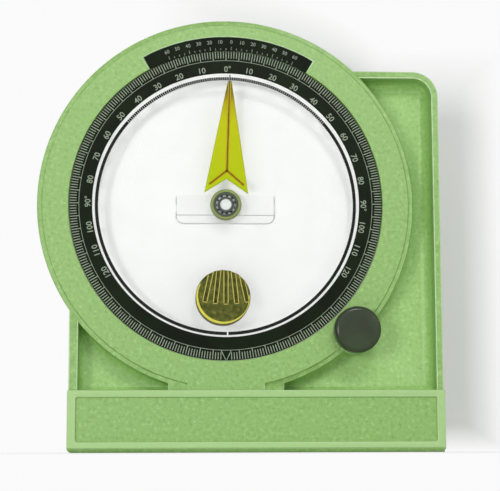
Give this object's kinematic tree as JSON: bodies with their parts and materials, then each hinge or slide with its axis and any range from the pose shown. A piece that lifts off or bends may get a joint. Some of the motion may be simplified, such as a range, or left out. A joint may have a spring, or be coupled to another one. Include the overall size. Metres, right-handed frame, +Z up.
{
  "type": "inclinometer",
  "caption": "Pendulum inclinometer: cast housing on a flat base, knob-driven degree ring, vernier and weighted pointer on a ball bearing.",
  "frame": {"origin": "on the base's flat underside, straight below the dial axis, at mid-thickness", "axes": "+Z up from the underside to the dial, -Y out of the dial's face, +X along the base to the knob's side"},
  "size_m": [0.1627, 0.0394, 0.1749],
  "materials": {
    "hammertone_paint": "satin",
    "black_scale": "satin",
    "black_ring": "satin",
    "white_scale": "satin",
    "clear_window": "gloss",
    "gear_plastic": "satin",
    "bare_aluminium": "satin",
    "spacer_plastic": "matte",
    "white_dial": "matte",
    "white_bridge": "gloss",
    "screw_steel": "satin",
    "shaft_steel": "polished",
    "bearing_steel": "polished",
    "ball_steel": "polished",
    "cage_brass": "satin",
    "hub_brass": "satin",
    "clear_disc": "gloss",
    "fluorescent_pointer": "gloss",
    "black_wire": "matte",
    "weight_brass": "satin",
    "knob_plastic": "satin",
    "pinion_brass": "satin",
    "bush_brass": "satin",
    "spring_steel": "satin"
  },
  "bodies": {
    "root": {"body": "hammertone_paint", "vernier_plate": "black_scale", "retainer_ring": "bare_aluminium", "spacer_ring": "spacer_plastic", "dial_plate": "white_dial", "bridge": "white_bridge", "bridge_screws": "screw_steel", "pivot_shaft": "shaft_steel", "shaft_nut": "screw_steel", "bearing_inner_race": "bearing_steel", "front_bush": "bush_brass", "rear_bush": "bush_brass", "spring_washer": "spring_steel", "rear_cover": "hammertone_paint", "cover_screws": "screw_steel"},
    "dial": {"dial_ring": "black_ring", "comb_scale_ring": "white_scale", "window": "clear_window", "ring_gear": "gear_plastic"},
    "pendulum": {"bearing_outer_race": "bearing_steel", "pendulum_hub": "hub_brass", "hub_clamp_ring": "hub_brass", "pendulum_disc": "clear_disc", "pointer": "fluorescent_pointer", "hairline_wire": "black_wire", "counterweight": "weight_brass"},
    "ball_cage": {"bearing_balls": "ball_steel", "bearing_cage": "cage_brass"},
    "knob": {"knob": "knob_plastic", "knob_shaft": "shaft_steel", "pinion": "pinion_brass", "shaft_clip": "spring_steel"}
  },
  "joints": [
    {"name": "dial_turn", "type": "hinge", "parent": "root", "child": "dial", "pos_m": [0, 0, 0.0992], "axis": [0, 1, 0], "continuous": true},
    {"name": "knob_turn", "type": "hinge", "parent": "root", "child": "knob", "pos_m": [0.05175, 0, 0.04799], "axis": [0, 1, 0], "continuous": true},
    {"name": "pendulum_swing", "type": "hinge", "parent": "root", "child": "pendulum", "pos_m": [0, 0, 0.0992], "axis": [0, 1, 0], "continuous": true},
    {"name": "cage_roll", "type": "hinge", "parent": "root", "child": "ball_cage", "pos_m": [0, 0, 0.0992], "axis": [0, 1, 0], "continuous": true}
  ],
  "couplings": [
    {"joint": "knob_turn", "follows": "dial_turn", "ratio": -10.375},
    {"joint": "cage_roll", "follows": "pendulum_swing", "ratio": 0.60274}
  ]
}
